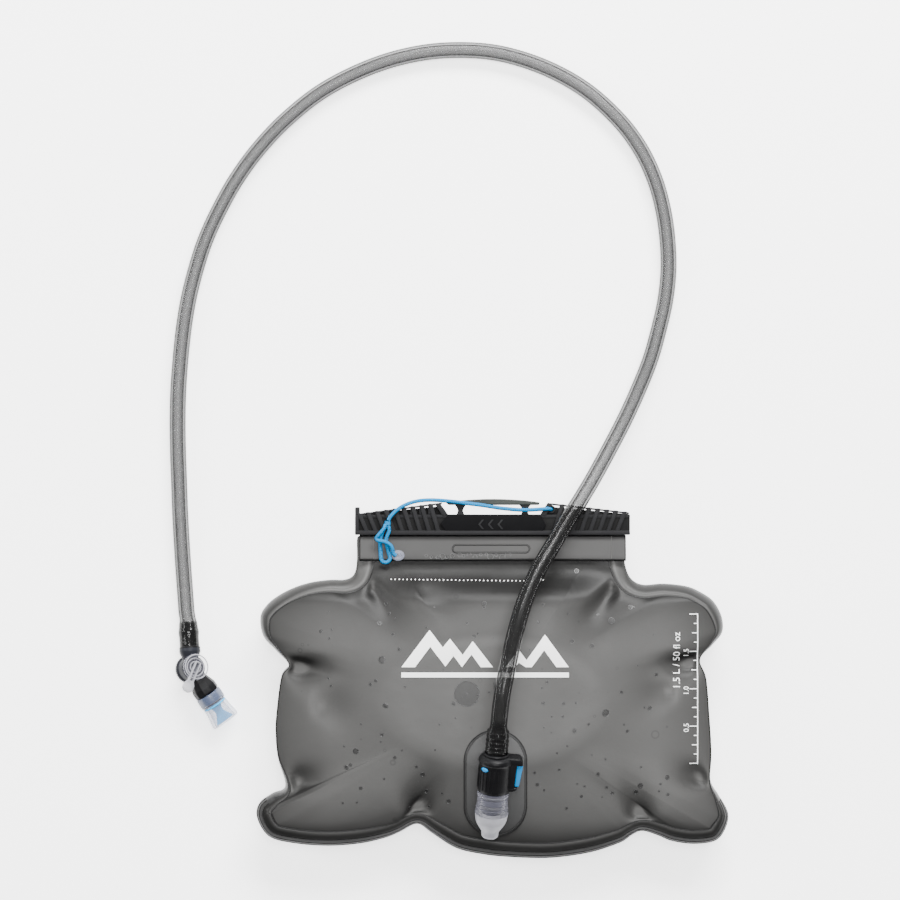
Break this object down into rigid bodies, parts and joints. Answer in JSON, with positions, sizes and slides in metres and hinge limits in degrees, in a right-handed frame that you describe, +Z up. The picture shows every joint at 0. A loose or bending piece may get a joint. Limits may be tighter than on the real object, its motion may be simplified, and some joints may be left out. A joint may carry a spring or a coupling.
{
  "type": "hydration bladder",
  "caption": "Water-filled film reservoir with slide seal and tether, quick-connect port, drinking hose and bite valve with shut-off, lying on its back",
  "frame": {"origin": "on the table under the middle of the bag and its slide bar, the free hose left out", "axes": "+X to the bag's right seen from the front, +Y from the foot of the bag to its slide bar, +Z up from the table through the front film"},
  "size_m": [0.3219, 0.4704, 0.0751],
  "materials": {
    "film": "smoke-grey translucent polyurethane film, satin",
    "band_film": "thicker smoke-grey film, satin",
    "black_plastic": "moulded black plastic, fine texture",
    "grip_plastic": "moulded dark grey plastic",
    "plug_plastic": "grey-lilac moulded plastic",
    "cord": "blue elastic cord",
    "blue_plastic": "blue moulded plastic",
    "clear_plastic": "clear to frosted moulded plastic",
    "clear_silicone": "frosted clear silicone",
    "blue_silicone": "blue silicone",
    "seal_rubber": "black seal rubber",
    "spring_steel": "bright spring wire",
    "tube": "smoke-grey translucent hose, glossy"
  },
  "bodies": {
    "reservoir": {"front_panel": "film", "back_panel": "film", "gusset": "film", "neck_band_front": "band_film", "neck_band_back": "band_film", "mouth_fold": "film", "tether_eyelet": "clear_plastic", "tether_loop": "cord", "port_flange": "film", "port_body": "clear_plastic", "port_spring": "spring_steel"},
    "slide_seal": {"slider_bar": "black_plastic", "slider_grip": "grip_plastic", "tether_cord": "cord"},
    "check_valve": {"port_poppet": "black_plastic"},
    "hose_assembly": {"plug_body": "plug_plastic", "plug_o_ring_lower": "seal_rubber", "plug_o_ring_upper": "seal_rubber", "connector_collar": "black_plastic", "button_spring": "spring_steel", "drinking_hose": "tube", "hose_end_plug": "tube", "hose_end_valve": "tube", "valve_elbow": "black_plastic", "bite_sleeve": "clear_silicone", "bite_core": "blue_silicone"},
    "release": {"release_button": "blue_plastic"},
    "shutoff": {"shutoff_knob": "clear_plastic", "shutoff_core": "plug_plastic", "core_o_ring": "seal_rubber"}
  },
  "joints": [
    {"name": "bar_slide", "type": "slide", "parent": "reservoir", "child": "slide_seal", "axis": [-1, 0, 0], "range_m": [0, 0.166], "deforming": ["tether_cord"]},
    {"name": "hose_unplug", "type": "slide", "parent": "reservoir", "child": "hose_assembly", "axis": [0.0717, 0.9536, 0.2924], "range_m": [0, 0.016]},
    {"name": "poppet_close", "type": "slide", "parent": "reservoir", "child": "check_valve", "axis": [0.0717, 0.9536, 0.2924], "range_m": [0, 0.0016], "deforming": ["port_spring"]},
    {"name": "button_press", "type": "slide", "parent": "hose_assembly", "child": "release", "axis": [-0.9974, 0.0686, 0.021], "range_m": [0, 0.002], "stiffness_N_per_m": 300, "springref_m": -0.001, "deforming": ["button_spring"]},
    {"name": "shutoff_turn", "type": "hinge", "parent": "hose_assembly", "child": "shutoff", "pos_m": [-0.1738, 0.0051, 0.011], "axis": [-0.4446, -0.1902, -0.8753], "range_deg": [0, 90]}
  ],
  "couplings": [
    {"joint": "poppet_close", "follows": "hose_unplug", "ratio": 0.1}
  ]
}
